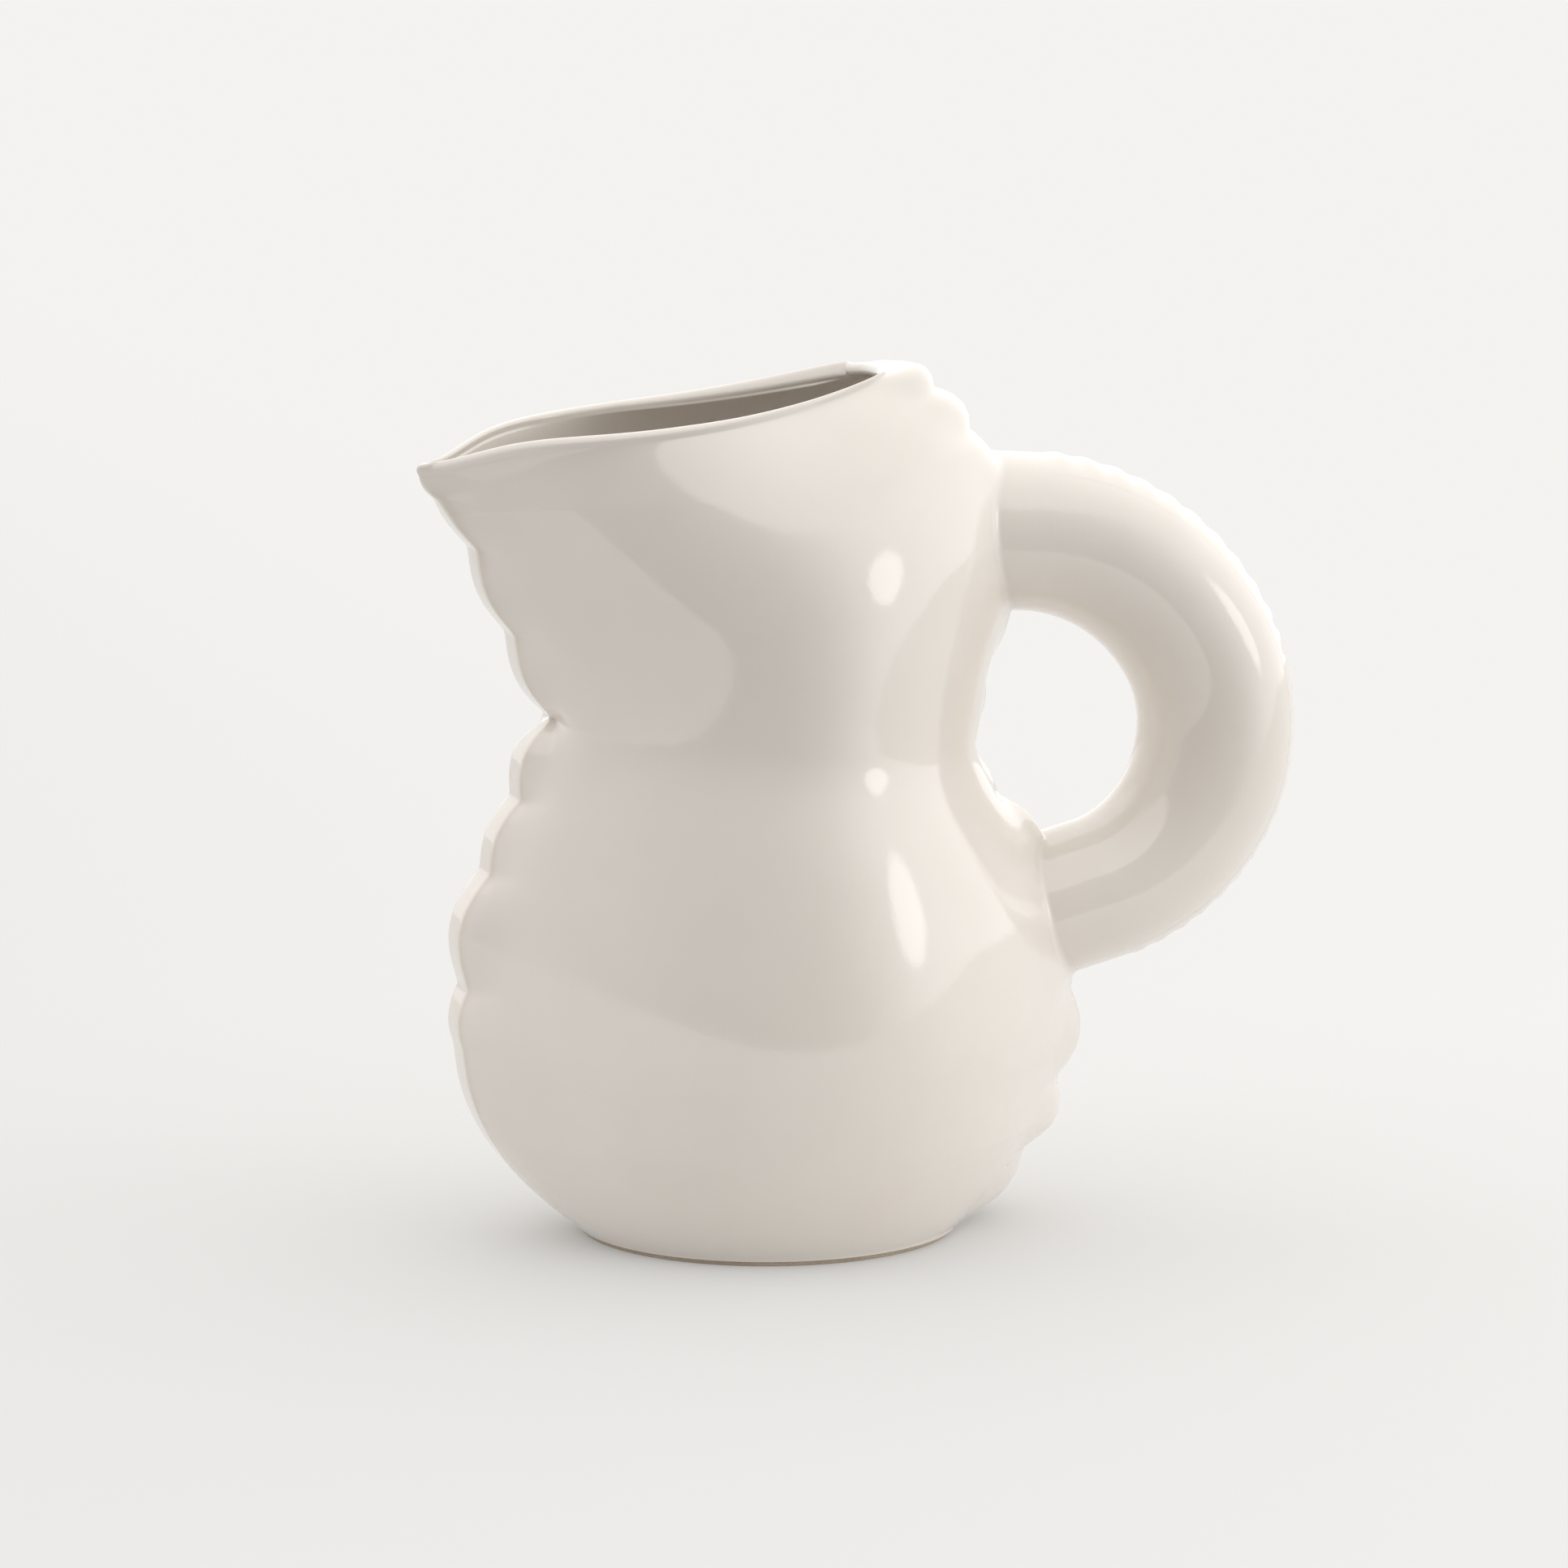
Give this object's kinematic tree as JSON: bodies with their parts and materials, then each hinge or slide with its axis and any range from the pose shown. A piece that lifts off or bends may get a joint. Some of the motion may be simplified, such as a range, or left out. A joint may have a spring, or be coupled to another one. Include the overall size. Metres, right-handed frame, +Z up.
{
  "type": "pitcher",
  "caption": "Glazed ceramic pitcher with a round bulb, a pinched waist, a flared bell with a pointed spout, scalloped bands and a thick tube handle.",
  "frame": {"origin": "centre of the foot's flat underside, on the surface that the pitcher stands on", "axes": "+Z up; +X towards the handle, so the spout points to -X; the pitcher is the same on both sides of the XZ plane"},
  "size_m": [0.2089, 0.122, 0.1975],
  "materials": {
    "glaze": "gloss",
    "bare_clay": "matte"
  },
  "bodies": {
    "root": {"foot_disc": "bare_clay", "floor": "glaze", "bulb_left_side": "glaze", "bulb_right_side": "glaze", "bulb_front_band": "glaze", "bulb_back_band": "glaze", "bell_left_side": "glaze", "bell_right_side": "glaze", "bell_front_band": "glaze", "bell_back_band": "glaze", "rim_lip": "glaze", "handle_tube": "glaze", "upper_handle_root": "glaze", "lower_handle_root": "glaze", "handle_ridge": "glaze", "upper_joint_slip": "glaze", "lower_joint_slip": "glaze"}
  },
  "joints": []
}
